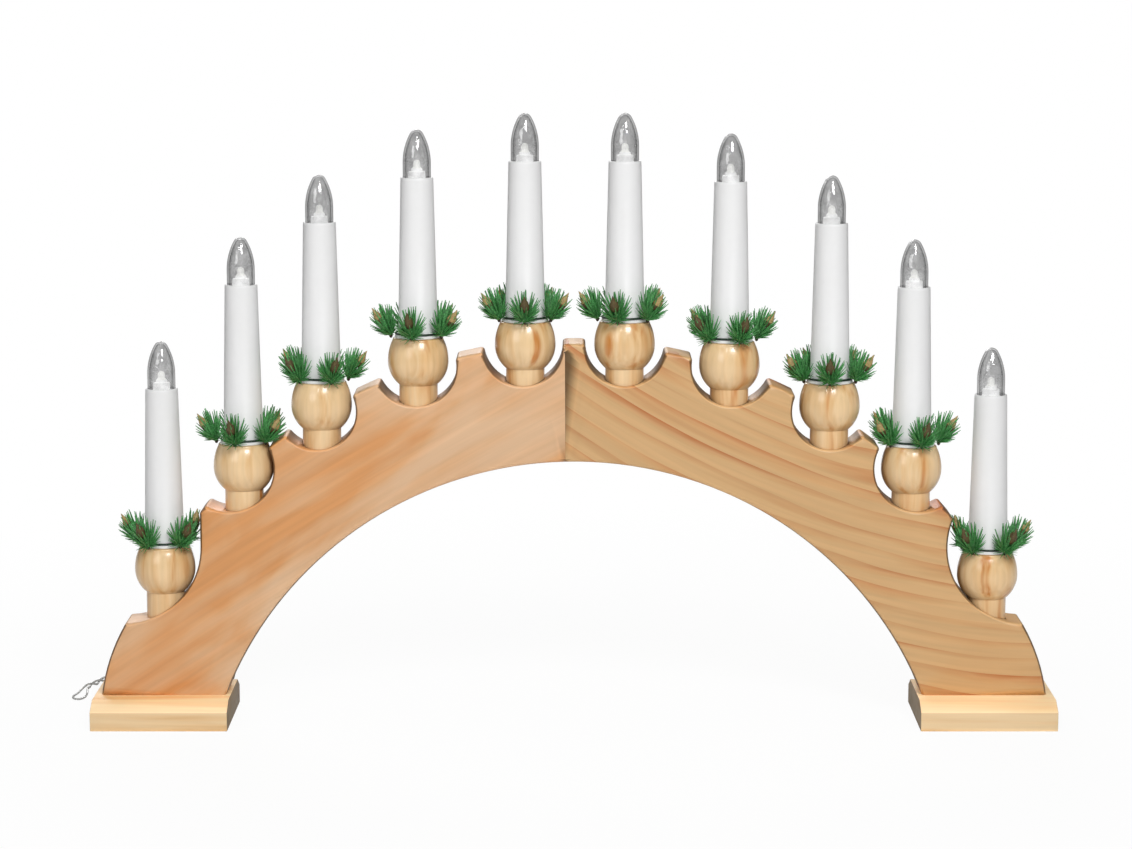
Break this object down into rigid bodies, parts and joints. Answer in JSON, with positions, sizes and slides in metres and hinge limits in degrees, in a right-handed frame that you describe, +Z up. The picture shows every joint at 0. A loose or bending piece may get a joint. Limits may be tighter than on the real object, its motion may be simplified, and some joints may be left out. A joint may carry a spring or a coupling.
{
  "type": "candle arch",
  "caption": "Arched pine window light with turned candle cups, electric candles with clear caps, loose evergreen rings and a corded battery box",
  "frame": {"origin": "on the table, midway between the outer ends of the two feet and midway through the boards' thickness", "axes": "+X to the right seen from the front, +Y to the back, +Z up"},
  "size_m": [0.4165, 0.1479, 0.2533],
  "materials": {
    "arch_pine": "oiled pine with streaky stain",
    "foot_pine": "pale planed pine",
    "cup_pine": "turned and lacquered pine",
    "beech_dowel": "plain",
    "screw_steel": "zinc plated",
    "sleeve_plastic": "smooth white",
    "clear_cap": "clear",
    "white_holder": "smooth",
    "lamp_plastic": "clear",
    "wire_insulation": "smooth",
    "clear_lead": "clear insulation",
    "box_plastic": "fine texture",
    "switch_plastic": "smooth",
    "cell_jacket": "satin",
    "contact_metal": "nickel plated",
    "evergreen": "fine needles"
  },
  "bodies": {
    "arch_frame": {"arch_left_board": "arch_pine", "arch_right_board": "arch_pine", "seam_dowels": "beech_dowel", "foot_left": "foot_pine", "foot_right": "foot_pine", "foot_screws": "screw_steel", "candle_cups": "cup_pine", "candle_sleeves": "sleeve_plastic", "bulb_caps": "clear_cap", "led_holders": "white_holder", "led_lamps": "lamp_plastic", "harness_wire": "wire_insulation", "harness_branches": "wire_insulation", "wire_keepers": "white_holder", "lead_gland": "wire_insulation", "lead_wire": "clear_lead", "battery_case": "box_plastic", "battery_cells": "cell_jacket", "contact_plates": "contact_metal", "contact_leaves": "contact_metal"},
    "ring_01": {"wreath_01": "evergreen"},
    "ring_02": {"wreath_02": "evergreen"},
    "ring_03": {"wreath_03": "evergreen"},
    "ring_04": {"wreath_04": "evergreen"},
    "ring_05": {"wreath_05": "evergreen"},
    "ring_06": {"wreath_06": "evergreen"},
    "ring_07": {"wreath_07": "evergreen"},
    "ring_08": {"wreath_08": "evergreen"},
    "ring_09": {"wreath_09": "evergreen"},
    "ring_10": {"wreath_10": "evergreen"},
    "cover": {"battery_cover": "box_plastic"},
    "switch": {"switch_slider": "switch_plastic"}
  },
  "joints": [
    {"name": "wreath_lift_01", "type": "slide", "parent": "arch_frame", "child": "ring_01", "axis": [0, 0, 1], "range_m": [0, 0.09]},
    {"name": "wreath_lift_02", "type": "slide", "parent": "arch_frame", "child": "ring_02", "axis": [0, 0, 1], "range_m": [0, 0.09]},
    {"name": "wreath_lift_03", "type": "slide", "parent": "arch_frame", "child": "ring_03", "axis": [0, 0, 1], "range_m": [0, 0.09]},
    {"name": "wreath_lift_04", "type": "slide", "parent": "arch_frame", "child": "ring_04", "axis": [0, 0, 1], "range_m": [0, 0.09]},
    {"name": "wreath_lift_05", "type": "slide", "parent": "arch_frame", "child": "ring_05", "axis": [0, 0, 1], "range_m": [0, 0.09]},
    {"name": "wreath_lift_06", "type": "slide", "parent": "arch_frame", "child": "ring_06", "axis": [0, 0, 1], "range_m": [0, 0.09]},
    {"name": "wreath_lift_07", "type": "slide", "parent": "arch_frame", "child": "ring_07", "axis": [0, 0, 1], "range_m": [0, 0.09]},
    {"name": "wreath_lift_08", "type": "slide", "parent": "arch_frame", "child": "ring_08", "axis": [0, 0, 1], "range_m": [0, 0.09]},
    {"name": "wreath_lift_09", "type": "slide", "parent": "arch_frame", "child": "ring_09", "axis": [0, 0, 1], "range_m": [0, 0.09]},
    {"name": "wreath_lift_10", "type": "slide", "parent": "arch_frame", "child": "ring_10", "axis": [0, 0, 1], "range_m": [0, 0.09]},
    {"name": "cover_slide", "type": "slide", "parent": "arch_frame", "child": "cover", "axis": [0, 1, 0], "range_m": [0, 0.06]},
    {"name": "switch_slide", "type": "slide", "parent": "arch_frame", "child": "switch", "axis": [1, 0, 0], "range_m": [0, 0.0036]}
  ]
}
